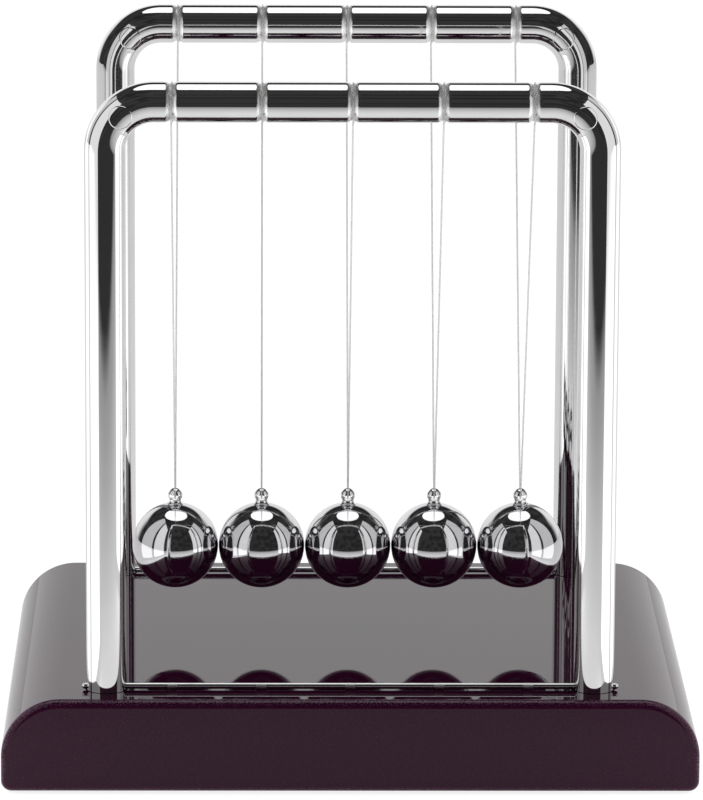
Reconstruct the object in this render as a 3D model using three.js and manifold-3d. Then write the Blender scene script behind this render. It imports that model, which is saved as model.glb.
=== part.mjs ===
// Newton's cradle: five steel balls hung in a row from two chrome frames on a hollow gloss base.
// Millimetres. +X runs along the row of balls, +Y from the front frame to the rear one, +Z up.
// The origin is under the middle of the base, on the surface that the feet stand on.
import * as THREE from 'three';
import { mergeVertices } from 'three/addons/utils/BufferGeometryUtils.js';
import Module from 'manifold-3d';

const wasm = await Module();
wasm.setup();

// ---- Driving dimensions ----

const GAP = 0.3; // clearance between pieces that fit together
const PAST = 1; // how far a cutting tool runs past the face that it cuts through
const SIDES = { hole: 10, small: 12, large: 16 }; // facets round the turned pieces

const BASE = {
  width: 173, depth: 142, top: 24, bottom: 0.6,
  shoulder: 14.8, // radius of the two long upper edges
  heel: 2.6, // radius of the two long lower edges
  edge: 2, // rounding of the front and rear edges
  wall: 2.6,
};

const FRAME = {
  legX: 60.5, // leg axis from the middle
  planeY: 59, // frame plane from the middle
  barZ: 171.8, // axis of the top bar
  radius: 5, wall: 1,
  bend: 12, // radius of the bend's centreline
  bendSteps: 5,
};
const SOCKET_DEPTH = 14; // how far a leg goes into the base
const BOSS = { radius: 7.5, floor: 3.6 };

const BALL = { radius: 11, pitch: 22.1, count: 5, z: 46.2, sides: 20, steps: 10 };

const GROOVE = { width: 3.2, floorWidth: 1.28, depth: 0.6 };

const EYELET = {
  spigot: 1.2, spigotLength: 4, // the pin that sits in the ball
  flare: 2.1, flareHeight: 0.55, // the foot's radius, and its height above the ball
  waist: 1.5, head: 1.85, // radii just above the foot and of the round head
  top: 15, hole: 12.6, // heights above the middle of the ball
  holeRadius: 0.8,
};

const LINE = {
  radius: 0.25, sides: 8,
  lipRadius: 1.2, lipSteps: 3, // the bend at each mouth of the eyelet's hole
  lipInset: 0.75, // how far inside the mouth that bend starts
  wrapClearance: 0.15, wrapSides: 6,
  pivot: 3, // the line swings about a point this far short of the bar's wrap
};

const TIE_ROD = { radius: 0.8, overhang: 1.1, offsetY: -1, clearance: 0.2 };

// The plug sits at an angle round the bend from level, just above its middle.
const BEND_PLUG = { radius: 2.9, depth: 1.1, sink: 0.15, angle: THREE.MathUtils.degToRad(48) };

const LEG_PLUG = { length: 10, bore: 1.8, cap: 2 };

const LEG_SCREW = { head: 2.8, headHeight: 2, shank: 1.5, length: 10 };
const PLATE_SCREW = { head: 2.5, headHeight: 1.1, shank: 1.3, length: 9 };
// Shares of a screw head's radius and height.
const SCREW_HEAD = { driveRadius: 0.45, driveDepth: 0.55, crownRadius: 0.8, crownHeight: 0.45 };

const PLATE = { thickness: 2.5, screwX: 42, screwY: 56, postRadius: 3.6, counterbore: 1.5 };

const FOOT = { x: 73, y: 57, radius: 8, rim: 0.4, height: 1.7, recess: 1.4 };

const legBottom = BASE.top - SOCKET_DEPTH;
const bossBottom = legBottom - GAP - BOSS.floor;
const hang = wrapTangent();

// ---- Finishes ----

const finish = (color, roughness, metalness) =>
  new THREE.MeshStandardMaterial({ color, roughness, metalness });

const FINISH = {
  lacquer: () => finish(0x31202b, 0.12, 0),
  chrome: () => finish(0xd8d8dc, 0.06, 1),
  steel: () => finish(0x8d8c90, 0.08, 1),
  nylon: () => finish(0xd9d9d6, 0.3, 0),
  black: () => finish(0x1b1b1d, 0.7, 0),
  rubber: () => finish(0x202022, 0.9, 0),
  zinc: () => finish(0xb9bbc0, 0.35, 1),
};

// ---- Solids: joining and cutting ----

function toSolid(geometry) {
  const bare = geometry.clone();
  bare.deleteAttribute('normal');
  bare.deleteAttribute('uv');
  const merged = mergeVertices(bare, 1e-4);
  const mesh = new wasm.Mesh({
    numProp: 3,
    vertProperties: new Float32Array(merged.attributes.position.array),
    triVerts: new Uint32Array(merged.index.array),
  });
  return new wasm.Manifold(mesh);
}

function toGeometry(solid) {
  const mesh = solid.getMesh();
  const geometry = new THREE.BufferGeometry();
  geometry.setAttribute('position', new THREE.BufferAttribute(mesh.vertProperties, 3));
  geometry.setIndex(new THREE.BufferAttribute(mesh.triVerts, 1));
  return geometry;
}

const cut = (body, tools) =>
  toGeometry(tools.reduce((solid, tool) => solid.subtract(toSolid(tool)), toSolid(body)));

const join = (bodies) =>
  toGeometry(bodies.slice(1).reduce((solid, body) => solid.add(toSolid(body)), toSolid(bodies[0])));

// ---- Shared shapes ----

// A post along Z between two heights.
function post(radius, low, high, x, y, sides = SIDES.large) {
  const geometry = new THREE.CylinderGeometry(radius, radius, high - low, sides);
  geometry.rotateX(Math.PI / 2);
  return geometry.translate(x, y, (low + high) / 2);
}

// A turned shape about the Z axis from [radius, height] pairs.
function turned(outline, sides) {
  const points = outline.map(([radius, height]) => new THREE.Vector2(radius, height));
  return new THREE.LatheGeometry(points, sides).rotateX(Math.PI / 2);
}

// An arc of [radius, height] pairs, by angles from straight down. Its middle is at a height, and may
// stand off the Z axis.
function arc(radius, from, to, steps, middle = 0, offset = 0) {
  const points = [];
  for (let i = 0; i <= steps; i += 1) {
    const angle = from + ((to - from) * i) / steps;
    points.push([offset + radius * Math.sin(angle), middle - radius * Math.cos(angle)]);
  }
  return points;
}

// The base's outline, inset from its outer faces and drawn out along Y, with its two ends rounded.
function baseBody(inset, bottom, rounding) {
  const half = BASE.width / 2 - inset;
  const top = BASE.top - inset;
  const shoulder = BASE.shoulder - inset;
  const heel = Math.max(BASE.heel - inset, 0);
  const shape = new THREE.Shape();
  shape.moveTo(-half + heel, bottom);
  shape.lineTo(half - heel, bottom);
  if (heel > 0) shape.absarc(half - heel, bottom + heel, heel, -Math.PI / 2, 0);
  shape.absarc(half - shoulder, top - shoulder, shoulder, 0, Math.PI / 2);
  shape.absarc(-half + shoulder, top - shoulder, shoulder, Math.PI / 2, Math.PI);
  if (heel > 0) shape.absarc(-half + heel, bottom + heel, heel, Math.PI, Math.PI * 1.5);
  const length = BASE.depth - 2 * inset - 2 * rounding;
  const geometry = new THREE.ExtrudeGeometry(shape, {
    depth: length,
    curveSegments: 6,
    bevelEnabled: rounding > 0,
    bevelThickness: rounding,
    bevelSize: rounding,
    bevelOffset: -rounding,
    bevelSegments: 2,
  });
  return geometry.rotateX(Math.PI / 2).translate(0, length / 2, 0);
}

// A curve that is sampled only at chosen fractions of its length.
class StationedCurve extends THREE.Curve {
  constructor(path, stations) {
    super();
    this.path = path;
    this.stations = stations;
  }

  getPoint(t, target = new THREE.Vector3()) {
    const last = this.stations.length - 1;
    const place = THREE.MathUtils.clamp(t, 0, 1) * last;
    const i = Math.min(Math.floor(place), last - 1);
    const s = THREE.MathUtils.lerp(this.stations[i], this.stations[i + 1], place - i);
    return target.copy(this.path.getPoint(s));
  }

  getUtoTmapping(u) {
    return u;
  }
}

// An arc in the vertical plane through a level direction, from one angle to another.
class Turn extends THREE.Curve {
  constructor(centre, across, radius, from, to) {
    super();
    Object.assign(this, { centre, across, radius, from, to });
  }

  getPoint(t, target = new THREE.Vector3()) {
    const angle = THREE.MathUtils.lerp(this.from, this.to, t);
    return target.copy(this.centre)
      .addScaledVector(this.across, this.radius * Math.cos(angle))
      .setZ(this.centre.z + this.radius * Math.sin(angle));
  }
}

// Joins straight runs and turns, with stations at their ends and inside the turns.
function stationed(curves, turnSteps) {
  const path = new THREE.CurvePath();
  curves.forEach((curve) => path.add(curve));
  const total = path.getLength();
  const stations = [0];
  let along = 0;
  for (const curve of curves) {
    const steps = curve instanceof Turn ? turnSteps : 1;
    const length = curve.getLength();
    for (let i = 1; i <= steps; i += 1) stations.push((along + (length * i) / steps) / total);
    along += length;
  }
  return new StationedCurve(path, stations);
}

function tubeAlong(curve, outer, sides, inner = 0) {
  const section = new THREE.Shape(ring(outer, sides));
  if (inner > 0) section.holes.push(new THREE.Path(ring(inner, sides).reverse()));
  return new THREE.ExtrudeGeometry(section, {
    steps: curve.stations.length - 1,
    extrudePath: curve,
  });
}

function ring(radius, sides) {
  return Array.from({ length: sides }, (_, i) => {
    const angle = (2 * Math.PI * i) / sides;
    return new THREE.Vector2(radius * Math.cos(angle), radius * Math.sin(angle));
  });
}

// ---- Base ----

function baseShell() {
  const floorTop = BASE.top - BASE.wall / 2;
  const bosses = corners(FRAME.legX, FRAME.planeY)
    .map(([x, y]) => post(BOSS.radius, bossBottom, floorTop, x, y));
  const posts = corners(PLATE.screwX, PLATE.screwY)
    .map(([x, y]) => post(PLATE.postRadius, BASE.bottom + PLATE.thickness + GAP, floorTop, x, y));
  const sockets = corners(FRAME.legX, FRAME.planeY)
    .map(([x, y]) => post(FRAME.radius + GAP, legBottom - GAP, BASE.top + PAST, x, y));
  const legHoles = corners(FRAME.legX, FRAME.planeY)
    .map(([x, y]) => post(LEG_SCREW.shank + GAP, bossBottom - PAST, legBottom, x, y, SIDES.hole));
  const holeTop = BASE.top - 2 * BASE.wall;
  const plateHoles = corners(PLATE.screwX, PLATE.screwY)
    .map(([x, y]) => post(PLATE_SCREW.shank + GAP, BASE.bottom, holeTop, x, y, SIDES.hole));
  const outside = baseBody(0, BASE.bottom, BASE.edge);
  const hollow = cut(outside, [baseBody(BASE.wall, BASE.bottom - PAST, 0)]);
  return cut(join([hollow, ...bosses, ...posts]), [...sockets, ...legHoles, ...plateHoles]);
}

function bottomPlate() {
  const width = BASE.width - 2 * (BASE.wall + GAP);
  const depth = BASE.depth - 2 * (BASE.wall + GAP);
  const middle = BASE.bottom + PLATE.thickness / 2;
  const plate = new THREE.BoxGeometry(width, depth, PLATE.thickness).translate(0, 0, middle);
  const recesses = corners(FOOT.x, FOOT.y)
    .map(([x, y]) => post(FOOT.radius + GAP, 0, BASE.bottom + FOOT.recess, x, y));
  const boreTop = BASE.bottom + PLATE.counterbore;
  const counterbores = corners(PLATE.screwX, PLATE.screwY)
    .map(([x, y]) => post(PLATE_SCREW.head + GAP, 0, boreTop, x, y, SIDES.small));
  const holes = corners(PLATE.screwX, PLATE.screwY)
    .map(([x, y]) => post(PLATE_SCREW.shank + GAP, 0, BASE.top, x, y, SIDES.hole));
  return cut(plate, [...recesses, ...counterbores, ...holes]);
}

function foot() {
  const { radius, rim, height } = FOOT;
  return turned([[0, 0], [radius - rim, 0], [radius, rim], [radius, height], [0, height]],
    SIDES.large);
}

// A pan-head screw standing on its head at z = 0, shank up.
function screw({ head, headHeight, shank, length }) {
  const { driveRadius, driveDepth, crownRadius, crownHeight } = SCREW_HEAD;
  const drive = { radius: head * driveRadius, depth: headHeight * driveDepth };
  const tip = headHeight + length;
  return turned([[0, drive.depth], [drive.radius, drive.depth], [drive.radius, 0],
    [head * crownRadius, 0], [head, headHeight * crownHeight], [head, headHeight],
    [shank, headHeight], [shank, tip - shank], [0, tip]], SIDES.hole);
}

// ---- Frames ----

function legTube() {
  const { legX, barZ, bend, radius, wall, bendSteps } = FRAME;
  const inner = legX - bend;
  const bendZ = barZ - bend;
  const across = new THREE.Vector3(1, 0, 0);
  const at = (x, z) => new THREE.Vector3(x, 0, z);
  const curve = stationed([
    new THREE.LineCurve3(at(-legX, legBottom), at(-legX, bendZ)),
    new Turn(at(-inner, bendZ), across, bend, Math.PI, Math.PI / 2),
    new THREE.LineCurve3(at(-inner, barZ), at(inner, barZ)),
    new Turn(at(inner, bendZ), across, bend, Math.PI / 2, 0),
    new THREE.LineCurve3(at(legX, bendZ), at(legX, legBottom)),
  ], bendSteps);
  return tubeAlong(curve, radius, SIDES.large, radius - wall);
}

// The ring that is turned out of the bar for one groove: a shallow hollow with sloping shoulders.
function grooveCutter(x) {
  const mouth = GROOVE.width / 2;
  const bed = GROOVE.floorWidth / 2;
  const floor = FRAME.radius - GROOVE.depth;
  const outside = FRAME.radius + PAST;
  const outline = [[floor, -bed], [FRAME.radius, -mouth], [outside, -mouth],
    [outside, mouth], [FRAME.radius, mouth], [floor, bed], [floor, -bed]];
  return turned(outline, SIDES.large).rotateY(Math.PI / 2).translate(x, 0, FRAME.barZ);
}

// A disc along Y that is centred on one bend, between two distances in front of the tube's axis.
function bendDisc(side, radius, from, to) {
  const x = side * (FRAME.legX - FRAME.bend + FRAME.bend * Math.cos(BEND_PLUG.angle));
  const z = FRAME.barZ - FRAME.bend + FRAME.bend * Math.sin(BEND_PLUG.angle);
  const disc = new THREE.CylinderGeometry(radius, radius, to - from, SIDES.large);
  return disc.translate(x, -(from + to) / 2, z);
}

function frame() {
  const rodRadius = TIE_ROD.radius + GAP;
  const rodLength = 2 * (FRAME.legX + FRAME.radius + PAST);
  const rodHole = new THREE.CylinderGeometry(rodRadius, rodRadius, rodLength, SIDES.large);
  rodHole.rotateZ(Math.PI / 2).translate(0, TIE_ROD.offsetY, tieRodZ());
  const plugHoles = [-1, 1].map((side) =>
    bendDisc(side, BEND_PLUG.radius + GAP / 2, plugBack() - GAP, FRAME.radius + PAST));
  return cut(legTube(), [...ballXs().map(grooveCutter), rodHole, ...plugHoles]);
}

function plugBack() {
  return FRAME.radius - BEND_PLUG.depth;
}

// The plug's face is sunk a little, so that it stays within the tube's outside.
function bendPlug(side) {
  return bendDisc(side, BEND_PLUG.radius, plugBack(), FRAME.radius - BEND_PLUG.sink);
}

function tieRodZ() {
  return BASE.top + TIE_ROD.clearance + TIE_ROD.radius;
}

// A thin rod through both legs of a frame, with a domed head outside each.
function tieRod() {
  const { radius, overhang } = TIE_ROD;
  const end = FRAME.legX + FRAME.radius + overhang;
  const dome = arc(radius, 0, Math.PI / 2, 2, -end + radius);
  const tail = arc(radius, Math.PI / 2, Math.PI, 2, end - radius);
  return turned([...dome, ...tail], SIDES.hole).rotateY(Math.PI / 2);
}

// The plug inside a leg's end, with the bore that its screw bites into.
function legPlug() {
  const { length, bore, cap } = LEG_PLUG;
  const radius = FRAME.radius - FRAME.wall - GAP;
  return turned([[0, length - cap], [bore, length - cap], [bore, 0], [radius, 0],
    [radius, length], [0, length]], SIDES.small);
}

// ---- Balls, eyelets and line ----

function ballXs() {
  return Array.from({ length: BALL.count }, (_, i) => (i - (BALL.count - 1) / 2) * BALL.pitch);
}

// A ball about its own middle, with the blind hole for its eyelet on top.
function ball() {
  const bore = EYELET.spigot + GAP;
  const rim = Math.PI - Math.asin(bore / BALL.radius);
  const floor = BALL.radius - EYELET.spigotLength - GAP;
  const outside = arc(BALL.radius, 0, rim, BALL.steps);
  return turned([...outside, [bore, floor], [0, floor]], BALL.sides);
}

function eyelet() {
  const { spigot, spigotLength, flare, flareHeight, waist, head, top, hole, holeRadius } = EYELET;
  const low = BALL.radius - spigotLength;
  const foot = BALL.radius + GAP;
  const knob = arc(head, Math.asin(waist / head), Math.PI, 6, top - head);
  const body = turned([[0, low], [spigot, low], [spigot, foot], [flare, foot],
    [waist, foot + flareHeight], ...knob], SIDES.small);
  const crossHole = new THREE.CylinderGeometry(holeRadius, holeRadius, 4 * head, SIDES.hole);
  return cut(body, [crossHole.translate(0, 0, hole)]);
}

function wrapRadius() {
  return FRAME.radius - GROOVE.depth + LINE.wrapClearance + LINE.radius;
}

// Where the straight run of line leaves the bend at the eyelet's lip, as [y, z], for a lean from upright.
function lipEnd(lean) {
  const turn = Math.PI / 2 - lean;
  return [lipStart() + LINE.lipRadius * Math.sin(turn),
    BALL.z + EYELET.hole + LINE.lipRadius * (1 - Math.cos(turn))];
}

// The line starts to bend just inside the mouth of the eyelet's hole.
function lipStart() {
  return EYELET.head - LINE.lipInset;
}

// Where the straight run meets the far side of the rear bar, and its lean. Each pass sharpens the lean.
function wrapTangent() {
  const passes = 6;
  let lean = Math.PI / 6;
  for (let i = 0; i < passes; i += 1) {
    const [y, z] = lipEnd(lean);
    const run = FRAME.planeY - y;
    const rise = FRAME.barZ - z;
    lean = Math.atan2(run, rise) + Math.asin(wrapRadius() / Math.hypot(run, rise));
  }
  return {
    y: FRAME.planeY + wrapRadius() * Math.cos(lean),
    z: FRAME.barZ - wrapRadius() * Math.sin(lean),
    lean,
  };
}

// The line from front to rear: down from the bar, round the eyelet's lip, through it and up again.
function suspensionLine() {
  const start = lipStart();
  const holeZ = BALL.z + EYELET.hole;
  const turn = Math.PI / 2 - hang.lean;
  const across = new THREE.Vector3(0, 1, 0);
  const centre = (side) => new THREE.Vector3(0, side * start, holeZ + LINE.lipRadius);
  const rear = new Turn(centre(1), across, LINE.lipRadius, -Math.PI / 2, -Math.PI / 2 + turn);
  const front = new Turn(centre(-1), across, LINE.lipRadius, -Math.PI / 2 - turn, -Math.PI / 2);
  const end = (side) => new THREE.Vector3(0, side * (hang.y - LINE.pivot * Math.sin(hang.lean)),
    hang.z - LINE.pivot * Math.cos(hang.lean));
  const curve = stationed([
    new THREE.LineCurve3(end(-1), front.getPoint(0)),
    front,
    new THREE.LineCurve3(front.getPoint(1), rear.getPoint(0)),
    rear,
    new THREE.LineCurve3(rear.getPoint(1), end(1)),
  ], LINE.lipSteps);
  return tubeAlong(curve, LINE.radius, LINE.sides);
}

// One closed turn of line in a groove, about the bar's axis.
function lineWrap() {
  const section = arc(LINE.radius, 0, 2 * Math.PI, LINE.wrapSides, 0, wrapRadius());
  return turned(section, SIDES.large).rotateY(Math.PI / 2);
}

// ---- Assembly ----

// The four [x, y] corners of a rectangle about the middle: front left, front right, rear left, rear right.
function corners(x, y) {
  return [[-x, -y], [x, -y], [-x, y], [x, y]];
}
const CORNER_NAMES = ['front_left', 'front_right', 'rear_left', 'rear_right'];

const cradle = new THREE.Group();

function place(name, geometry, material, x = 0, y = 0, z = 0) {
  const mesh = new THREE.Mesh(geometry, material);
  mesh.name = name;
  mesh.position.set(x, y, z);
  cradle.add(mesh);
}

place('base_shell', baseShell(), FINISH.lacquer());
place('bottom_plate', bottomPlate(), FINISH.black());

corners(FOOT.x, FOOT.y).forEach(([x, y], i) =>
  place(`foot_${CORNER_NAMES[i]}`, foot(), FINISH.rubber(), x, y));

corners(PLATE.screwX, PLATE.screwY).forEach(([x, y], i) => {
  const z = BASE.bottom + PLATE.counterbore - GAP - PLATE_SCREW.headHeight;
  place(`plate_screw_${CORNER_NAMES[i]}`, screw(PLATE_SCREW), FINISH.zinc(), x, y, z);
});

corners(FRAME.legX, FRAME.planeY).forEach(([x, y], i) => {
  const z = bossBottom - GAP - LEG_SCREW.headHeight;
  place(`leg_screw_${CORNER_NAMES[i]}`, screw(LEG_SCREW), FINISH.zinc(), x, y, z);
  place(`leg_plug_${CORNER_NAMES[i]}`, legPlug(), FINISH.black(), x, y, legBottom);
});

for (const [side, name] of [[-1, 'front'], [1, 'rear']]) {
  const y = side * FRAME.planeY;
  place(`frame_${name}`, frame(), FINISH.chrome(), 0, y);
  place(`tie_rod_${name}`, tieRod(), FINISH.chrome(), 0, y + TIE_ROD.offsetY, tieRodZ());
  place(`bend_plug_${name}_left`, bendPlug(-1), FINISH.chrome(), 0, y);
  place(`bend_plug_${name}_right`, bendPlug(1), FINISH.chrome(), 0, y);
  ballXs().forEach((x, i) =>
    place(`line_wrap_${name}_${i + 1}`, lineWrap(), FINISH.nylon(), x, y, FRAME.barZ));
}

ballXs().forEach((x, i) => {
  place(`ball_${i + 1}`, ball(), FINISH.steel(), x, 0, BALL.z);
  place(`eyelet_${i + 1}`, eyelet(), FINISH.chrome(), x, 0, BALL.z);
  place(`line_${i + 1}`, suspensionLine(), FINISH.nylon(), x);
});

export default cradle;
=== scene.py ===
"""Newton's cradle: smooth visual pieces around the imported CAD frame, with materials, light and camera."""

import math

import bpy
from mathutils import Matrix, Vector

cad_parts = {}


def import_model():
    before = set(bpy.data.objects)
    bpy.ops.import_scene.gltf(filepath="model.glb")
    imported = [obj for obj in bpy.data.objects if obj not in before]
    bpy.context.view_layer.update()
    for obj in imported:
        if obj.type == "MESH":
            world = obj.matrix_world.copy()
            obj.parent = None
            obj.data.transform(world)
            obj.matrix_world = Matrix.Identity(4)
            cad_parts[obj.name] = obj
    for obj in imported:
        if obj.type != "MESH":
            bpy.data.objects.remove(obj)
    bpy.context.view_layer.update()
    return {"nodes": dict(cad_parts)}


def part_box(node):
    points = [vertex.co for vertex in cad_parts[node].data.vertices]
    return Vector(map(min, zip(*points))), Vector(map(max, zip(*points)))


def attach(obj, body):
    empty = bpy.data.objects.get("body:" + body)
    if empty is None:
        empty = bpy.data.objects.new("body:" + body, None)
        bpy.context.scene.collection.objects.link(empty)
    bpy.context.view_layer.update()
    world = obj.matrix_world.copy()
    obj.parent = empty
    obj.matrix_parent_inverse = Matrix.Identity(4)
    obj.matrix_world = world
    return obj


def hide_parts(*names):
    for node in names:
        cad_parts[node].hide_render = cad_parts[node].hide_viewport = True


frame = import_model()

MM = 0.001

# ---- Driving dimensions (metres unless a comment says otherwise) ----

BALLS = 5
BALL_RADIUS = 11 * MM
PITCH = 22.1 * MM  # between neighbouring balls
SOCKET = {"rim": 1.5 * MM, "depth": 4.3 * MM}  # the blind hole on top of each ball
SIDES = ("front", "rear")
CORNERS = ("front_left", "front_right", "rear_left", "rear_right")

SHOULDER = 14.8 * MM  # radius of the base's two long upper edges
HEEL = 2.6 * MM  # radius of its two long lower edges
EDGE = 2.0 * MM  # rounding of its front and rear edges
SOCKET_GAP = 0.3 * MM  # round each leg, foot and screw head, and round the bottom plate
SUPPORT = 0.4 * MM  # distance of the extra mesh lines that keep the flats flat
PAST = 1 * MM  # how far a cutter reaches past the surface that it cuts

FOOT = {"soft": 0.4 * MM, "dish": 0.55, "hollow": 0.3 * MM}  # dish: its radius, as a share of the foot's
COVER_SOFT = 0.3 * MM  # rounding of the bottom plate's edges
SCREW = {"shank": 1.3 * MM, "crown": 1.1 * MM, "seat": 1.5 * MM}
CROSS = {"arm": 1.3 * MM, "half": 0.25 * MM, "depth": 0.6 * MM}  # the recess in a screw's head

BEND = 12 * MM  # radius of the frame's bends, at the tube's middle
TUBE_WALL = 1 * MM
GROOVE = {"half": 1.6 * MM, "depth": 0.6 * MM}  # half: of its width
GROOVE_MATT_AND_HIGHLIGHT = {"matt": 0.38, "pale": 0.4}  # added roughness, and a painted highlight: brightness added to the colour per unit of that roughness

# The cap on each bend. It stands a little proud of the tube's surface.
DISC = {"radius": 2.9 * MM, "depth": 1.1 * MM, "proud": 0.14 * MM, "rounding": 0.26 * MM}

LINE = {
    "radius": 0.25 * MM,
    "lip": 1.2 * MM, "lip_start": 1.1 * MM,  # radius and start of the bend at the eyelet's mouth
    "pivot": 3 * MM,  # the line swings about a point this far short of the bar
}
WRAP_RADIUS = 4.8 * MM  # of the turn of line about the bar
WRAP_DRIFT = 0.34 * MM  # how far the turn travels sideways, so that its ends pass each other
KNOT_ANGLE = math.radians(34)  # of the knot above the level of the bar's axis
KNOT_SIZE = 0.17 * MM  # a third of its reach

EYELET = {  # heights are above the ball's middle
    "spigot": 1.2 * MM, "bottom": 7 * MM,
    "foot": 10.84 * MM, "flare": 2.1 * MM, "rim": 0.1 * MM, "neck": 0.7 * MM, "waist": 1.5 * MM,
    "head": 1.85 * MM, "top": 15 * MM,
    "hole": 12.6 * MM, "hole_radius": 0.8 * MM, "soft": 0.08 * MM,
}

SHARP = 35  # degrees, the least turn of the surface that stays a sharp edge
TUBE_SHARP = 50  # the same, for tubes and small turned parts
BEND_STEPS = 28
EDGE_STEPS = 8
TUBE_SIDES = 72
LINE_SIDES = 16

# ---- Meshes ----


def mesh_object(name, vertices, faces, sharp=SHARP):
    """A smooth shaded object whose edges are sharp where they turn by more than sharp degrees."""
    mesh = bpy.data.meshes.new(name)
    mesh.from_pydata([tuple(v) for v in vertices], [], faces)
    mesh.validate()
    mesh.shade_smooth()
    mesh.set_sharp_from_angle(angle=math.radians(sharp))
    piece = bpy.data.objects.new(name, mesh)
    bpy.context.scene.collection.objects.link(piece)
    return piece


def lofted(name, rings, wrapped=False, sharp=SHARP):
    """A skin through rings of equally many points, its ends capped, or joined to each other if wrapped."""
    count = len(rings[0])
    vertices = [point for ring in rings for point in ring]
    faces = []
    last = len(rings) if wrapped else len(rings) - 1
    for i in range(last):
        a = i * count
        b = (i + 1) % len(rings) * count
        faces += [(a + j, a + (j + 1) % count, b + (j + 1) % count, b + j) for j in range(count)]
    if not wrapped:
        end = (len(rings) - 1) * count
        faces.append(tuple(reversed(range(count))))
        faces.append(tuple(range(end, end + count)))
    return mesh_object(name, vertices, faces, sharp)


def turned(name, outline, middle, steps=64, sharp=SHARP):
    """A piece turned about a vertical axis through middle, from (radius, height) pairs, bottom to top.
    The first and last pairs lie on the axis."""
    x, y, z = middle
    vertices = [(x, y, z + outline[0][1]), (x, y, z + outline[-1][1])]
    for radius, height in outline[1:-1]:
        for j in range(steps):
            angle = 2 * math.pi * j / steps
            vertices.append((x + radius * math.cos(angle), y + radius * math.sin(angle), z + height))
    rings = len(outline) - 2
    faces = []
    for j in range(steps):
        k = (j + 1) % steps
        faces.append((0, 2 + k, 2 + j))
        for i in range(rings - 1):
            a = 2 + i * steps
            faces.append((a + j, a + k, a + steps + k, a + steps + j))
        top = 2 + (rings - 1) * steps
        faces.append((top + j, top + k, 1))
    return mesh_object(name, vertices, faces, sharp)


def tube_rings(points, radii, sides, normal):
    """Rings about an open path that lies in the plane with that normal."""
    rings = []
    for i, point in enumerate(points):
        before = points[max(i - 1, 0)]
        after = points[min(i + 1, len(points) - 1)]
        across = normal.cross(after - before).normalized()
        rings.append([
            point + radii[i] * (math.cos(a) * across + math.sin(a) * normal)
            for a in (2 * math.pi * j / sides for j in range(sides))
        ])
    return rings


def arc(centre, first, second, radius, start, end, steps):
    """Points about centre, from angle start to end, measured from direction first towards second."""
    angles = (start + (end - start) * i / steps for i in range(steps + 1))
    return [centre + radius * (math.cos(a) * first + math.sin(a) * second) for a in angles]


def right_angle(steps):
    """Angles in equal steps from 0 to a right angle."""
    return [math.pi / 2 * i / steps for i in range(steps + 1)]


def quarter(radius, steps, centre, start):
    """(radius, height) pairs of a quarter circle about centre, from angle start, anticlockwise."""
    angles = (start + a for a in right_angle(steps))
    return [(centre[0] + radius * math.cos(a), centre[1] + radius * math.sin(a)) for a in angles]


def baked(piece, sharp=SHARP):
    """Applies the piece's modifiers and shades the result."""
    graph = bpy.context.evaluated_depsgraph_get()
    mesh = bpy.data.meshes.new_from_object(piece.evaluated_get(graph))
    piece.modifiers.clear()
    piece.data = mesh
    mesh.shade_smooth()
    mesh.set_sharp_from_angle(angle=math.radians(sharp))
    return piece


def carved(piece, cutters, sharp=SHARP):
    """Cuts each cutter's shape out of the piece."""
    for cutter in cutters:
        cut = piece.modifiers.new("cut", "BOOLEAN")
        cut.object = cutter
        cut.operation = "DIFFERENCE"
        cut.solver = "EXACT"
    baked(piece, sharp)
    for cutter in cutters:
        bpy.data.objects.remove(cutter)
    return piece


def softened(piece, width):
    """Rounds the piece's sharp edges."""
    bevel = piece.modifiers.new("soft", "BEVEL")
    bevel.width = width
    bevel.segments = 3
    bevel.limit_method = "ANGLE"
    bevel.angle_limit = math.radians(SHARP)
    return baked(piece)


def plug(name, radius, low, high, x, y):
    """A plain upright post, for cutting holes."""
    outline = [(0, low), (radius, low), (radius, high), (0, high)]
    return turned(name, outline, (x, y, 0))


def block(name, low, high):
    """A rectangular block between two corners."""
    corners = ((low[0], low[1]), (high[0], low[1]), (high[0], high[1]), (low[0], high[1]))
    return lofted(name, [[(x, y, z) for x, y in corners] for z in (low[2], high[2])])


def middle_of(node):
    """The middle of a CAD node's box."""
    low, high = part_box(node)
    return (low + high) / 2


# ---- Materials ----


class Graph:
    """Helpers for building a node tree."""

    def __init__(self, tree):
        self.nodes = tree.nodes
        self.links = tree.links

    def add(self, kind, **sources):
        """A new node, with its named inputs fed from other nodes."""
        node = self.nodes.new(kind)
        for socket, source in sources.items():
            self.links.new(source, node.inputs[socket])
        return node

    def feed(self, socket, value):
        """Sets an input to a number, or links it to another node's output."""
        if isinstance(value, float):
            socket.default_value = value
        else:
            self.links.new(value, socket)

    def maths(self, operation, first, second):
        """The result of a sum on two numbers or outputs."""
        node = self.nodes.new("ShaderNodeMath")
        node.operation = operation
        self.feed(node.inputs[0], first)
        self.feed(node.inputs[1], second)
        return node.outputs["Value"]

    def ramp(self, value, start, end, low, high):
        """Goes smoothly from low to high as the value goes from start to end."""
        spread = self.add("ShaderNodeMapRange", Value=value)
        spread.interpolation_type = "SMOOTHSTEP"
        for name, number in (("From Min", start), ("From Max", end), ("To Min", low), ("To Max", high)):
            spread.inputs[name].default_value = number
        return spread.outputs["Result"]

    def blend(self, factor, first, second):
        """Goes from the first to the second number or output as the factor goes from 0 to 1."""
        mix = self.add("ShaderNodeMix", Factor=factor)
        self.feed(mix.inputs["A"], first)
        self.feed(mix.inputs["B"], second)
        return mix.outputs["Result"]


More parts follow.
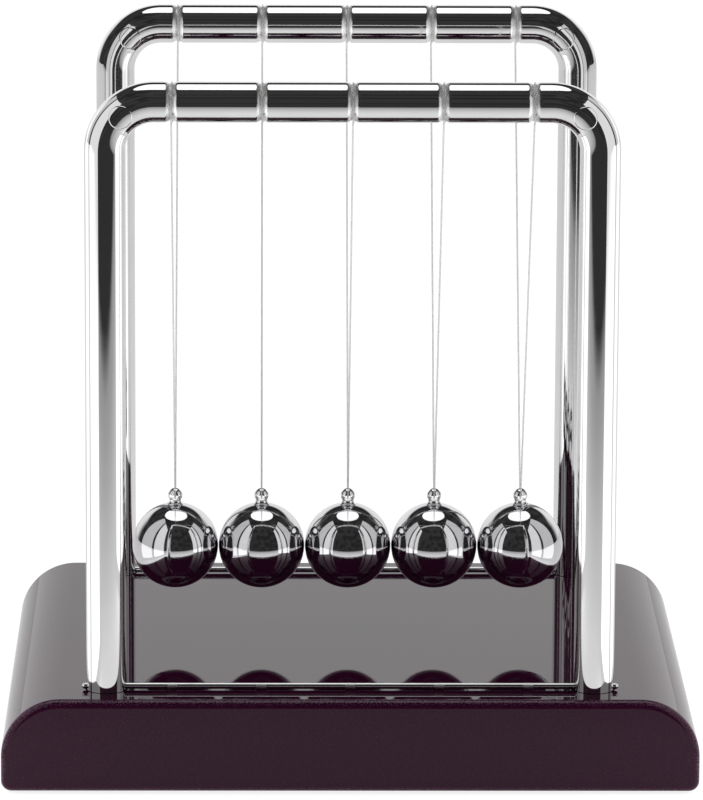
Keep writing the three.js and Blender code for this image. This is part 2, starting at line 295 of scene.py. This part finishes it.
class Finish(Graph):
    """A node material around one Principled shader, with helpers for procedural detail."""

    def __init__(self, name, **values):
        self.material = bpy.data.materials.new(name)
        self.material.use_nodes = True
        super().__init__(self.material.node_tree)
        self.shader = self.nodes["Principled BSDF"]
        for socket, value in values.items():
            self.shader.inputs[socket.replace("_", " ")].default_value = value
        self.place = self.nodes.new("ShaderNodeTexCoord").outputs["Object"]

    def stretched(self, scale):
        """The object's coordinates, scaled by a different amount along each axis."""
        mapping = self.nodes.new("ShaderNodeMapping")
        mapping.inputs["Scale"].default_value = scale
        self.links.new(self.place, mapping.inputs["Vector"])
        return mapping.outputs["Vector"]

    def noise(self, per_metre, detail=4.0, place=None):
        """A soft random pattern, at the object's coordinates unless a place is given."""
        texture = self.nodes.new("ShaderNodeTexNoise")
        texture.inputs["Scale"].default_value = per_metre
        texture.inputs["Detail"].default_value = detail
        self.links.new(place or self.place, texture.inputs["Vector"])
        return texture.outputs["Fac"]

    def cells(self, per_metre):
        """Distance from the middle of each cell of a random pattern."""
        texture = self.nodes.new("ShaderNodeTexVoronoi")
        texture.inputs["Scale"].default_value = per_metre
        self.links.new(self.place, texture.inputs["Vector"])
        return texture.outputs["Distance"]

    def ranged(self, value, low, high, start=0.3, end=0.7):
        """Maps the pattern's values from start..end onto low..high."""
        spread = self.nodes.new("ShaderNodeMapRange")
        for socket, number in (("From Min", start), ("From Max", end), ("To Min", low), ("To Max", high)):
            spread.inputs[socket].default_value = number
        self.links.new(value, spread.inputs["Value"])
        return spread.outputs["Result"]

    def colours(self, value, stops):
        """Colours the pattern by (position, colour) stops."""
        ramp = self.nodes.new("ShaderNodeValToRGB")
        elements = ramp.color_ramp.elements
        while len(elements) < len(stops):
            elements.new(0.5)
        for element, (position, colour) in zip(elements, stops):
            element.position = position
            element.color = (*colour, 1)
        self.links.new(value, ramp.inputs["Fac"])
        return ramp.outputs["Color"]

    def drive(self, socket, value):
        """Feeds one of the Principled shader's inputs."""
        self.links.new(value, self.shader.inputs[socket])
        return self

    def mottled(self, per_metre, dark, light):
        """Colours the surface in soft patches between two colours."""
        return self.drive("Base Color", self.colours(self.noise(per_metre), [(0.3, dark), (0.7, light)]))

    def bump(self, value, height, strength=1.0):
        """Raises the surface by the pattern, up to a height in metres."""
        relief = self.nodes.new("ShaderNodeBump")
        relief.inputs["Distance"].default_value = height
        relief.inputs["Strength"].default_value = strength
        self.links.new(value, relief.inputs["Height"])
        self.links.new(relief.outputs["Normal"], self.shader.inputs["Normal"])
        return self


def chrome():
    """Bright plating with faint polishing haze, matt inside the bars' rolled grooves, where a paler colour
    is painted in as a highlight.
    """
    f = Finish("frame_chrome", Metallic=1.0)
    x = f.add("ShaderNodeSeparateXYZ", Vector=f.place).outputs["X"]
    off_groove = f.maths("PINGPONG", x, PITCH / 2)
    past_last = f.maths("GREATER_THAN", f.maths("ABSOLUTE", x, 0.0), BALLS / 2 * PITCH)
    bed = GROOVE["half"] * 0.6
    matt = f.ramp(f.maths("ADD", off_groove, past_last), bed, GROOVE["half"], GROOVE_MATT_AND_HIGHLIGHT["matt"], 0.0)
    haze = f.ranged(f.noise(60), 0.78, 0.83)
    # painted highlight: the colour is made paler inside the grooves, in step with their added roughness
    f.drive("Base Color", f.maths("ADD", haze, f.maths("MULTIPLY", matt, GROOVE_MATT_AND_HIGHLIGHT["pale"])))
    f.drive("Roughness", f.maths("ADD", f.ranged(f.noise(240, 6), 0.025, 0.06), matt))
    return f.bump(f.noise(90, 2), 0.004 * MM).material


def ball_steel():
    """Polished gunmetal steel with fine random scratches."""
    f = Finish("ball_steel", Metallic=1.0)
    f.mottled(45, (0.65, 0.64, 0.66), (0.73, 0.72, 0.74))
    f.drive("Roughness", f.ranged(f.noise(500, 8), 0.03, 0.08))
    return f.bump(f.noise(1500, 3), 0.0006 * MM).material


def lacquer():
    """Dark plum lacquer under a clear gloss, with light flecks. The flecks are made denser along the
    rounded front and rear edges as a painted highlight.
    """
    f = Finish("base_lacquer", Coat_Weight=1.0, Coat_Roughness=0.02, Coat_IOR=1.31, Specular_IOR_Level=0.0)
    normal = f.add("ShaderNodeTexCoord").outputs["Normal"]
    facing = f.add("ShaderNodeSeparateXYZ", Vector=normal).outputs["Y"]
    # painted highlight: more light flecks where the surface turns between the front or rear face and the
    # top or ends
    painted_edge_highlight = f.maths("PINGPONG", f.maths("ABSOLUTE", facing, 0.0), 0.5)
    depth = f.maths("SUBTRACT", f.cells(2600), painted_edge_highlight)
    f.drive("Base Color", f.colours(depth, [(0.06, (0.14, 0.06, 0.11)), (0.2, (0.038, 0.004, 0.023))]))
    f.drive("Roughness", f.ranged(f.noise(30), 0.1, 0.2))
    return f.bump(f.noise(150, 1), 0.002 * MM).material


def plate_plastic():
    """Black moulded plastic with a spark-eroded grain."""
    f = Finish("plate_plastic", Specular_IOR_Level=0.4)
    f.mottled(40, (0.012, 0.012, 0.013), (0.022, 0.022, 0.023))
    f.drive("Roughness", f.ranged(f.noise(900), 0.5, 0.72))
    return f.bump(f.noise(2200, 3), 0.05 * MM).material


def plug_plastic():
    """Dark grey plastic of the plugs inside the legs."""
    f = Finish("plug_plastic")
    f.mottled(80, (0.03, 0.03, 0.032), (0.05, 0.05, 0.052))
    f.drive("Roughness", f.ranged(f.noise(700), 0.45, 0.6))
    return f.bump(f.noise(1800, 3), 0.03 * MM).material


def rubber():
    """Matt black rubber with a soft grain."""
    f = Finish("rubber", Specular_IOR_Level=0.3)
    f.mottled(160, (0.014, 0.014, 0.014), (0.03, 0.03, 0.029))
    f.drive("Roughness", f.ranged(f.noise(1200), 0.75, 0.92))
    return f.bump(f.noise(3000, 4), 0.06 * MM).material


def screw_steel():
    """Zinc-plated steel with turning marks."""
    f = Finish("screw_steel", Metallic=1.0)
    f.mottled(300, (0.5, 0.5, 0.5), (0.62, 0.61, 0.58))
    f.drive("Roughness", f.ranged(f.noise(1500), 0.25, 0.42))
    return f.bump(f.noise(4000, 2), 0.01 * MM).material


def eyelet_chrome():
    """Plated turned part: finer haze than the frame's."""
    f = Finish("eyelet_chrome", Metallic=1.0)
    f.mottled(400, (0.8, 0.8, 0.82), (0.88, 0.88, 0.89))
    f.drive("Roughness", f.ranged(f.noise(2500, 6), 0.04, 0.12))
    return f.bump(f.noise(2200, 2, f.stretched((1, 1, 6))), 0.002 * MM).material


def line_nylon():
    """Clear drawn nylon, a little cloudy, with marks along its length."""
    f = Finish("line_nylon", Alpha=0.45, IOR=1.45)
    f.mottled(900, (0.9, 0.9, 0.89), (0.97, 0.97, 0.96))
    f.drive("Roughness", f.ranged(f.noise(2500), 0.12, 0.3))
    return f.bump(f.noise(6000, 2, f.stretched((1, 1, 0.1))), 0.02 * MM).material


MATERIALS = {
    "frame_chrome": chrome(),
    "ball_steel": ball_steel(),
    "base_lacquer": lacquer(),
    "plate_plastic": plate_plastic(),
    "plug_plastic": plug_plastic(),
    "rubber": rubber(),
    "screw_steel": screw_steel(),
    "eyelet_chrome": eyelet_chrome(),
    "line_nylon": line_nylon(),
}


def finished(piece, slot, body, *nodes):
    """Gives the piece its material and body, and hides the CAD nodes that it stands for."""
    piece.data.materials.clear()
    piece.data.materials.append(MATERIALS[slot])
    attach(piece, body)
    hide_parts(*nodes)


# ---- Base ----

BASE_LOW, BASE_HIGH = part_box("base_shell")


def base_outline(inset):
    """The base's rounded section in X and Z, inset on every side, anticlockwise from the lower left."""
    half = BASE_HIGH.x - inset
    low = BASE_LOW.z + inset
    top = BASE_HIGH.z - inset
    shoulder = SHOULDER - inset
    heel = HEEL - inset
    corners = (
        (half - heel, low + heel, heel, -90, EDGE_STEPS),
        (half - shoulder, top - shoulder, shoulder, 0, BEND_STEPS),
        (-half + shoulder, top - shoulder, shoulder, 90, BEND_STEPS),
        (-half + heel, low + heel, heel, 180, EDGE_STEPS),
    )
    points = []
    for x, z, radius, start, steps in corners:
        turn = quarter(radius, steps, (x, z), math.radians(start))
        points += [extended(turn[0], turn[1]), *turn, extended(turn[-1], turn[-2])]
    return points


def extended(end, inner):
    """A point a little beyond the end of an arc, along its tangent, that keeps the flat beside it flat."""
    dx, dz = end[0] - inner[0], end[1] - inner[1]
    if abs(dx) > abs(dz):
        return (end[0] + math.copysign(SUPPORT, dx), end[1])
    return (end[0], end[1] + math.copysign(SUPPORT, dz))


def base_body():
    """The whole base, with rounded front and rear edges, its leg holes and the hollow underneath."""
    half = BASE_HIGH.y
    front = []
    for angle in right_angle(EDGE_STEPS):
        inset = EDGE * (1 - math.sin(angle))
        front.append((inset, -half + EDGE * (1 - math.cos(angle))))
    front.append((0, -half + EDGE + SUPPORT))
    sections = front + [(inset, -y) for inset, y in reversed(front)]
    rings = [[(x, y, z) for x, z in base_outline(inset)] for inset, y in sections]
    piece = lofted("base_body", [list(reversed(ring)) for ring in rings])
    return carved(piece, [*leg_sockets(), plate_recess()])


def leg_sockets():
    """The four holes that the frames' legs stand in."""
    tubes = leg_radius() + SOCKET_GAP
    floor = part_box("frame_front")[0].z - SOCKET_GAP
    return [plug(f"socket_{corner}", tubes, floor, BASE_HIGH.z + PAST, x, y)
            for corner, (x, y) in zip(CORNERS, leg_places())]


def plate_recess():
    """The hollow that the bottom plate closes."""
    low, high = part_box("bottom_plate")
    gap = Vector((SOCKET_GAP, SOCKET_GAP, 0))
    return block("recess", low - gap - Vector((0, 0, PAST)), high + gap + Vector((0, 0, SOCKET_GAP)))


def bottom_plate():
    """The flat cover under the base, with seats for the feet and the screws."""
    low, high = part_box("bottom_plate")
    piece = softened(block("bottom_cover", low, high), COVER_SOFT)
    cutters = []
    for corner in CORNERS:
        foot_low, foot_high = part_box(f"foot_{corner}")
        centre = (foot_low + foot_high) / 2
        radius = (foot_high.x - foot_low.x) / 2 + SOCKET_GAP
        cutters.append(plug("foot_seat", radius, 0, foot_high.z, centre.x, centre.y))
        screw_low, screw_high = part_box(f"plate_screw_{corner}")
        centre = (screw_low + screw_high) / 2
        radius = (screw_high.x - screw_low.x) / 2 + SOCKET_GAP
        cutters.append(plug("screw_seat", radius, 0, low.z + SCREW["seat"], centre.x, centre.y))
    return carved(piece, cutters)


def foot(corner):
    """A round rubber foot with a soft rim and a shallow dish underneath."""
    low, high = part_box(f"foot_{corner}")
    centre = (low + high) / 2
    radius = (high.x - low.x) / 2
    soft, hollow = FOOT["soft"], FOOT["hollow"]
    dish = radius * FOOT["dish"]
    outline = [(0, low.z + hollow), (dish, low.z + hollow), (dish + hollow, low.z),
               *quarter(soft, 5, (radius - soft, low.z + soft), -math.pi / 2),
               (radius, high.z), (0, high.z)]
    return turned(f"rubber_foot_{corner}", outline, (centre.x, centre.y, 0))


def plate_screw(corner):
    """A pan-head screw, head down, with a cross recess."""
    low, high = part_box(f"plate_screw_{corner}")
    centre = (low + high) / 2
    head = (high.x - low.x) / 2
    shank = SCREW["shank"]
    top = low.z + SCREW["crown"]
    crown = [(head * math.sin(a), top - SCREW["crown"] * math.cos(a)) for a in right_angle(10)[1:]]
    outline = [(0, low.z), *crown, (shank, top), (shank, high.z - shank), (0, high.z)]
    piece = turned(f"cover_screw_{corner}", outline, (centre.x, centre.y, 0), 48)
    slots = []
    for w, d in ((CROSS["arm"], CROSS["half"]), (CROSS["half"], CROSS["arm"])):
        near = (centre.x - w, centre.y - d, low.z - PAST)
        far = (centre.x + w, centre.y + d, low.z + CROSS["depth"])
        slots.append(block("slot", near, far))
    return carved(piece, slots)


# ---- Frames ----


def leg_radius():
    """The tube's outer radius."""
    low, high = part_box("frame_front")
    return (high.y - low.y) / 2


def leg_places():
    """The (x, y) of each leg, in the order of CORNERS."""
    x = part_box("frame_front")[1].x - leg_radius()
    return [(side * x, middle_of(f"frame_{name}").y) for name in SIDES for side in (-1, 1)]


def bar_height():
    """The height of the middle of each frame's top bar."""
    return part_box("frame_front")[1].z - leg_radius()


def groove_stations(x):
    """(x, radius) pairs across one groove, a smooth hollow with soft shoulders."""
    steps = 14
    outer = leg_radius()
    reach = GROOVE["half"] + SUPPORT
    hollow = [(x + GROOVE["half"] * i / steps,
               outer - GROOVE["depth"] * (1 + math.cos(math.pi * i / steps)) / 2)
              for i in range(-steps, steps + 1)]
    return [(x - reach, outer), *hollow, (x + reach, outer)]


def ball_places():
    """The middle of each ball's box, from left to right."""
    return [middle_of(f"ball_{i + 1}") for i in range(BALLS)]


def frame_path(grooved):
    """The tube's centreline from the left leg's foot to the right one's, with its radius at each point."""
    x_leg = leg_places()[1][0]
    z_bar = bar_height()
    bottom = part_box("frame_front")[0].z
    radius = leg_radius()
    across, up = Vector((1, 0, 0)), Vector((0, 0, 1))
    left = Vector((-x_leg + BEND, 0, z_bar - BEND))
    right = Vector((x_leg - BEND, 0, z_bar - BEND))
    path = [Vector((-x_leg, 0, bottom)), Vector((-x_leg, 0, z_bar - BEND - SUPPORT))]
    path += arc(left, across, up, BEND, math.pi, math.pi / 2, BEND_STEPS)
    path.append(Vector((-x_leg + BEND + SUPPORT, 0, z_bar)))
    radii = [radius] * len(path)
    if grooved:
        for place in ball_places():
            for x, r in groove_stations(place.x):
                path.append(Vector((x, 0, z_bar)))
                radii.append(r)
    tail = [Vector((x_leg - BEND - SUPPORT, 0, z_bar))]
    tail += arc(right, across, up, BEND, math.pi / 2, 0, BEND_STEPS)
    tail += [Vector((x_leg, 0, z_bar - BEND - SUPPORT)), Vector((x_leg, 0, bottom))]
    return path + tail, radii + [radius] * len(tail)


def frame_tube(side):
    """One frame: a hollow tube bent twice, with a groove for each ball's line."""
    y = middle_of(f"frame_{side}").y
    normal = Vector((0, 1, 0))
    shift = Vector((0, y, 0))
    path, radii = frame_path(grooved=True)
    outer = tube_rings([p + shift for p in path], radii, TUBE_SIDES, normal)
    path, radii = frame_path(grooved=False)
    inner = tube_rings([p + shift for p in path], [r - TUBE_WALL for r in radii], TUBE_SIDES, normal)
    return lofted(f"frame_tube_{side}", outer + list(reversed(inner)), wrapped=True, sharp=TUBE_SHARP)


def bend_disc(side, hand):
    """The round cap that closes the hole in the front of a bend, curved to follow the tube."""
    centre = middle_of(f"bend_plug_{side}_{hand}")
    plane = middle_of(f"frame_{side}").y
    tube = leg_radius()
    bend_x = math.copysign(leg_places()[1][0] - BEND, centre.x)
    bend_z = bar_height() - BEND
    radius, depth, proud, soft = (DISC[k] for k in ("radius", "depth", "proud", "rounding"))
    face_rings = 8
    face = [((radius - soft) * k / face_rings, proud) for k in range(face_rings - 1, 0, -1)]
    outline = [(0, -depth), (radius, -depth),
               *quarter(soft, 6, (radius - soft, proud - soft), 0), *face, (0, proud)]
    piece = turned(f"bend_cap_{side}_{hand}", outline, (0, 0, 0), sharp=60)
    for vertex in piece.data.vertices:
        x, z = centre.x + vertex.co.x, centre.z + vertex.co.y
        off_axis = math.hypot(x - bend_x, z - bend_z) - BEND
        surface = math.sqrt(tube ** 2 - off_axis ** 2)
        vertex.co = (x, plane - surface - vertex.co.z, z)
    return piece


def tie_rod(side):
    """A thin rod through both legs, with domed ends."""
    low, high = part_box(f"tie_rod_{side}")
    centre = (low + high) / 2
    radius = (high.z - low.z) / 2
    half = (high.x - low.x) / 2
    dome = [(radius * math.sin(a), -half + radius * (1 - math.cos(a))) for a in right_angle(10)]
    outline = dome + [(r, -z) for r, z in reversed(dome)]
    piece = turned(f"cross_rod_{side}", outline, (0, 0, 0), 40)
    piece.data.transform(Matrix.Translation(centre) @ Matrix.Rotation(math.pi / 2, 4, "Y"))
    return piece


# ---- Balls, eyelets and line ----


def ball_centre(i):
    """The middle of ball i, from the middle of its box across and its lowest point."""
    low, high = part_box(f"ball_{i}")
    return Vector(((low.x + high.x) / 2, (low.y + high.y) / 2, low.z + BALL_RADIUS))


def ball(i):
    """A polished ball with a blind hole for its eyelet."""
    rim = SOCKET["rim"]
    stop = math.pi - math.asin(rim / BALL_RADIUS)
    steps = 72
    shell = [(BALL_RADIUS * math.sin(stop * k / steps), -BALL_RADIUS * math.cos(stop * k / steps))
             for k in range(steps + 1)]
    bed = BALL_RADIUS - SOCKET["depth"]
    return turned(f"polished_ball_{i}", [*shell, (rim, bed), (0, bed)], ball_centre(i), 128)


def eyelet(i):
    """A turned stud with a flared foot, a round head and a cross hole for the line."""
    foot, flare, rim, neck = (EYELET[k] for k in ("foot", "flare", "rim", "neck"))
    waist, head, spigot = (EYELET[k] for k in ("waist", "head", "spigot"))
    sweep = [(flare - (flare - waist) * math.sin(a), foot + 2 * rim + neck * (1 - math.cos(a)))
             for a in right_angle(8)]
    start = -math.acos(waist / head)
    steps = 24
    knob = [(head * math.cos(a), EYELET["top"] - head + head * math.sin(a))
            for a in (start + (math.pi / 2 - start) * k / steps for k in range(steps + 1))]
    outline = [(0, EYELET["bottom"]), (spigot, EYELET["bottom"]), (spigot, foot), (flare - rim, foot),
               (flare, foot + rim), *sweep, *knob]
    piece = turned(f"eyelet_stud_{i}", outline, ball_centre(i), 72, TUBE_SHARP)
    cutter = plug("cross_hole", EYELET["hole_radius"], -2 * head, 2 * head, 0, 0)
    place = ball_centre(i) + Vector((0, 0, EYELET["hole"]))
    cutter.data.transform(Matrix.Translation(place) @ Matrix.Rotation(math.pi / 2, 4, "X"))
    return softened(carved(piece, [cutter], TUBE_SHARP), EYELET["soft"])


def lip_end(lean):
    """(y, z) where the straight run leaves the bend at the eyelet's lip, for a lean from upright."""
    turn = math.pi / 2 - lean
    hole = ball_centre(1).z + EYELET["hole"]
    return (LINE["lip_start"] + LINE["lip"] * math.sin(turn),
            hole + LINE["lip"] * (1 - math.cos(turn)))


def wrap_tangent():
    """(y, z, lean) where the straight run meets the far side of the rear bar. Each round of the loop
    starts from the lean that the one before found, and six rounds settle it."""
    plane, height = middle_of("frame_rear").y, bar_height()
    lean = math.radians(30)
    for _ in range(6):
        y, z = lip_end(lean)
        run, rise = plane - y, height - z
        lean = math.atan2(run, rise) + math.asin(WRAP_RADIUS / math.hypot(run, rise))
    return plane + WRAP_RADIUS * math.cos(lean), height - WRAP_RADIUS * math.sin(lean), lean


HANG_Y, HANG_Z, LEAN = wrap_tangent()
PIVOT = (HANG_Y - LINE["pivot"] * math.sin(LEAN), HANG_Z - LINE["pivot"] * math.cos(LEAN))


def suspension_line(i):
    """The line from the front pivot down, through the eyelet and up to the rear pivot."""
    x = ball_centre(i).x
    hole = ball_centre(i).z + EYELET["hole"]
    turn = math.pi / 2 - LEAN
    back, up = Vector((0, 1, 0)), Vector((0, 0, 1))
    rear = Vector((x, LINE["lip_start"], hole + LINE["lip"]))
    steps = 12
    bend = arc(rear, back, up, LINE["lip"], -math.pi / 2, -math.pi / 2 + turn, steps)
    end = Vector((x, *PIVOT))
    half = bend + [bend[-1].lerp(end, k / steps) for k in range(1, steps + 1)]
    path = [Vector((p.x, -p.y, p.z)) for p in reversed(half)] + half
    rings = tube_rings(path, [LINE["radius"]] * len(path), LINE_SIDES, Vector((1, 0, 0)))
    return lofted(f"nylon_line_{i}", rings)


def line_wrap(side, i):
    """The turn of line in the bar's groove, and the short run from it down to the pivot."""
    sign = -1 if side == "front" else 1
    x = ball_centre(i).x
    centre = Vector((x, middle_of(f"frame_{side}").y, bar_height()))
    outward, up = Vector((0, sign, 0)), Vector((0, 0, 1))
    steps = 64
    path = arc(centre, outward, up, WRAP_RADIUS, 2 * math.pi - LEAN, -LEAN, steps)
    path = [p + Vector((WRAP_DRIFT * (1 - k / steps), 0, 0)) for k, p in enumerate(path)]
    path.append(Vector((x, sign * PIVOT[0], PIVOT[1])))
    rings = tube_rings(path, [LINE["radius"]] * len(path), LINE_SIDES, Vector((1, 0, 0)))
    return lofted(f"line_turn_{side}_{i}", rings)


def knot(side, i):
    """The small flat knot, lying in the groove, that ties the turn of line off."""
    sign = -1 if side == "front" else 1
    outward = Vector((0, sign * math.cos(KNOT_ANGLE), math.sin(KNOT_ANGLE)))
    along = Vector((0, -sign * math.sin(KNOT_ANGLE), math.cos(KNOT_ANGLE)))
    across = Vector((1, 0, 0))
    axis = Vector((ball_centre(i).x, middle_of(f"frame_{side}").y, bar_height()))
    place = axis + (WRAP_RADIUS + LINE["radius"]) * outward
    steps = 60
    path = []
    for k in range(steps):
        t = 2 * math.pi * k / steps
        path.append(place + KNOT_SIZE * (
            (math.sin(t) + 2 * math.sin(2 * t)) * across
            + (math.cos(t) - 2 * math.cos(2 * t)) * along
            - math.sin(3 * t) * outward))
    return closed_cord(f"line_knot_{side}_{i}", path, outward)


def closed_cord(name, path, up):
    """A closed loop of line along a path that lies roughly in the plane with the normal up."""
    rings = []
    count = len(path)
    for k, point in enumerate(path):
        along = (path[(k + 1) % count] - path[k - 1]).normalized()
        side = up.cross(along).normalized()
        rise = along.cross(side)
        rings.append([point + LINE["radius"] * (math.cos(a) * side + math.sin(a) * rise)
                      for a in (2 * math.pi * j / 12 for j in range(12))])
    return lofted(name, rings, wrapped=True)


# ---- Assembly ----


def build_stand():
    finished(base_body(), "base_lacquer", "stand", "base_shell")
    finished(bottom_plate(), "plate_plastic", "stand", "bottom_plate")
    for corner in CORNERS:
        finished(foot(corner), "rubber", "stand", f"foot_{corner}")
        finished(plate_screw(corner), "screw_steel", "stand", f"plate_screw_{corner}")
        for kind, slot in (("leg_screw", "screw_steel"), ("leg_plug", "plug_plastic")):
            node = frame["nodes"][f"{kind}_{corner}"]
            node.data.materials.clear()
            node.data.materials.append(MATERIALS[slot])
    for side in SIDES:
        finished(frame_tube(side), "frame_chrome", "stand", f"frame_{side}")
        finished(tie_rod(side), "frame_chrome", "stand", f"tie_rod_{side}")
        for hand in ("left", "right"):
            finished(bend_disc(side, hand), "frame_chrome", "stand", f"bend_plug_{side}_{hand}")
        for i in range(1, BALLS + 1):
            node = f"line_wrap_{side}_{i}"
            finished(line_wrap(side, i), "line_nylon", "stand", node)
            finished(knot(side, i), "line_nylon", "stand", node)


def build_pendulums():
    for i in range(1, BALLS + 1):
        body = f"pendulum_{i}"
        finished(ball(i), "ball_steel", body, f"ball_{i}")
        finished(eyelet(i), "eyelet_chrome", body, f"eyelet_{i}")
        finished(suspension_line(i), "line_nylon", body, f"line_{i}")


# ---- Studio ----

CAMERA = {
    "place": (-21.98 * MM, -1595.65 * MM, 442.71 * MM),
    "yaw": 0.819, "pitch": -12.659, "roll": 0.261,  # degrees
    "lens": 288.18, "sensor": 36,  # millimetres
    "farthest": 50,
}

FLOOR = {
    "size": 6,
    "end": 0.55, "fade": 0.06,  # in reflections it ends this far in front, over a soft edge this wide
    "near": 0.12,  # and it is brightest from this far in front on
    "glow_end": 0.14, "glow_near": 0.5,  # its glow in reflections at those two places
    "glow_seen": 0.85,  # its glow to the camera
    "pale": 0.8, "dark": 0.02,  # its matt colour, within the end and beyond it in reflections
}

# The surroundings, as reflections show them. Directions are unit vectors, y to the rear and z up.
ROOM = {"glow": 0.03, "least": 0.7, "most": 1.5, "patches": 5}  # least and most: shares of its glow
BACKDROP = {"glow": 0.93, "y": (0.4, 0.75), "z": (0.42, 0.55)}  # fades in over y, and out over z

OVERHEAD = {"y": 0.35, "z": 1.55, "size": 1.2, "radiance": 1.4}

# White cards on both sides of the object, facing its middle: one ahead of the front frame, and a
# dimmer one between the frames.
CARD_X = 0.131
CARD_Z = 0.1335
CARD_HEIGHT = 0.253
CARDS = {
    "card": {"y": -0.107, "width": 0.095, "radiance": 0.85},
    "spill": {"y": -0.0185, "width": 0.057, "radiance": 0.62},
}


def camera():
    data = bpy.data.cameras.new("camera")
    data.lens = CAMERA["lens"]
    data.sensor_width = CAMERA["sensor"]
    data.clip_end = CAMERA["farthest"]
    cam = bpy.data.objects.new("camera", data)
    yaw, pitch, roll = (math.radians(CAMERA[k]) for k in ("yaw", "pitch", "roll"))
    cam.matrix_world = (
        Matrix.Translation(CAMERA["place"])
        @ Matrix.Rotation(-yaw, 4, "Z")
        @ Matrix.Rotation(math.pi / 2 + pitch, 4, "X")
        @ Matrix.Rotation(roll, 4, "Z")
    )
    bpy.context.scene.collection.objects.link(cam)
    bpy.context.scene.camera = cam


def floor():
    """A pale floor. It is white to the camera. In reflections it is grey, and dark beyond its end."""
    half = FLOOR["size"] / 2
    corners = [(-half, -half, 0), (half, -half, 0), (half, half, 0), (-half, half, 0)]
    piece = mesh_object("floor", corners, [(0, 1, 2, 3)])
    material = bpy.data.materials.new("pale_floor")
    material.use_nodes = True
    graph = Graph(material.node_tree)
    graph.nodes.clear()
    seen = graph.add("ShaderNodeLightPath").outputs["Is Camera Ray"]
    place = graph.add("ShaderNodeTexCoord").outputs["Object"]
    depth = graph.add("ShaderNodeSeparateXYZ", Vector=place).outputs["Y"]
    end, fade = FLOOR["end"], FLOOR["fade"]
    within = graph.ramp(depth, -end - fade, -end + fade, 0.0, 1.0)
    lit = graph.ramp(depth, -end, -FLOOR["near"], FLOOR["glow_end"], FLOOR["glow_near"])
    grey = graph.maths("ADD", graph.maths("MULTIPLY", within, lit), ROOM["glow"])
    glow = graph.add("ShaderNodeEmission", Strength=graph.blend(seen, grey, FLOOR["glow_seen"]))
    pale = graph.maths("MAXIMUM", seen, within)
    matt = graph.add("ShaderNodeBsdfDiffuse", Color=graph.blend(pale, FLOOR["dark"], FLOOR["pale"]))
    both = graph.add("ShaderNodeAddShader")
    graph.links.new(glow.outputs["Emission"], both.inputs[0])
    graph.links.new(matt.outputs["BSDF"], both.inputs[1])
    graph.add("ShaderNodeOutputMaterial", Surface=both.outputs["Shader"])
    piece.data.materials.append(material)


def softbox(name, place, target, width, height, radiance, shape="RECTANGLE"):
    """A flat light that faces its target and that the camera doesn't see directly."""
    data = bpy.data.lights.new(name, "AREA")
    data.shape = shape
    data.size = width
    data.size_y = height
    area = width * height * (math.pi / 4 if shape == "ELLIPSE" else 1)
    data.energy = radiance * math.pi * area
    light = bpy.data.objects.new(name, data)
    aim = Vector(target) - Vector(place)
    light.matrix_world = Matrix.Translation(place) @ aim.to_track_quat("-Z", "Y").to_matrix().to_4x4()
    light.visible_camera = False
    bpy.context.scene.collection.objects.link(light)


def world():
    """White to the camera. To everything else it is a dark room with a white backdrop low at the rear."""
    scene_world = bpy.data.worlds.new("studio")
    bpy.context.scene.world = scene_world
    scene_world.use_nodes = True
    graph = Graph(scene_world.node_tree)
    background = graph.nodes["Background"]
    background.inputs["Color"].default_value = (1, 1, 1, 1)
    direction = graph.add("ShaderNodeTexCoord").outputs["Generated"]
    split = graph.add("ShaderNodeSeparateXYZ", Vector=direction)
    rear = graph.ramp(split.outputs["Y"], *BACKDROP["y"], 0.0, 1.0)
    low = graph.ramp(split.outputs["Z"], *BACKDROP["z"], BACKDROP["glow"], 0.0)
    mottle = graph.add("ShaderNodeTexNoise", Vector=direction)
    mottle.inputs["Scale"].default_value = ROOM["patches"]
    least, most = (ROOM["glow"] * ROOM[k] for k in ("least", "most"))
    room = graph.ramp(mottle.outputs["Fac"], 0.35, 0.65, least, most)
    backdrop = graph.maths("ADD", graph.maths("MULTIPLY", rear, low), room)
    seen = graph.add("ShaderNodeLightPath").outputs["Is Camera Ray"]
    graph.links.new(graph.maths("MAXIMUM", backdrop, seen), background.inputs["Strength"])


def lights():
    """A round light above the rear of the object, and two cards on each side of it."""
    y, size = OVERHEAD["y"], OVERHEAD["size"]
    softbox("overhead", (0, y, OVERHEAD["z"]), (0, y, 0), size, size, OVERHEAD["radiance"], "ELLIPSE")
    for side, hand in ((-1, "left"), (1, "right")):
        for name, card in CARDS.items():
            place = (side * CARD_X, card["y"], CARD_Z)
            target = (0, card["y"], CARD_Z)
            softbox(f"{name}_{hand}", place, target, card["width"], CARD_HEIGHT, card["radiance"])


camera()
build_stand()
build_pendulums()
floor()
lights()
world()
bpy.context.scene.view_settings.view_transform = "Standard"
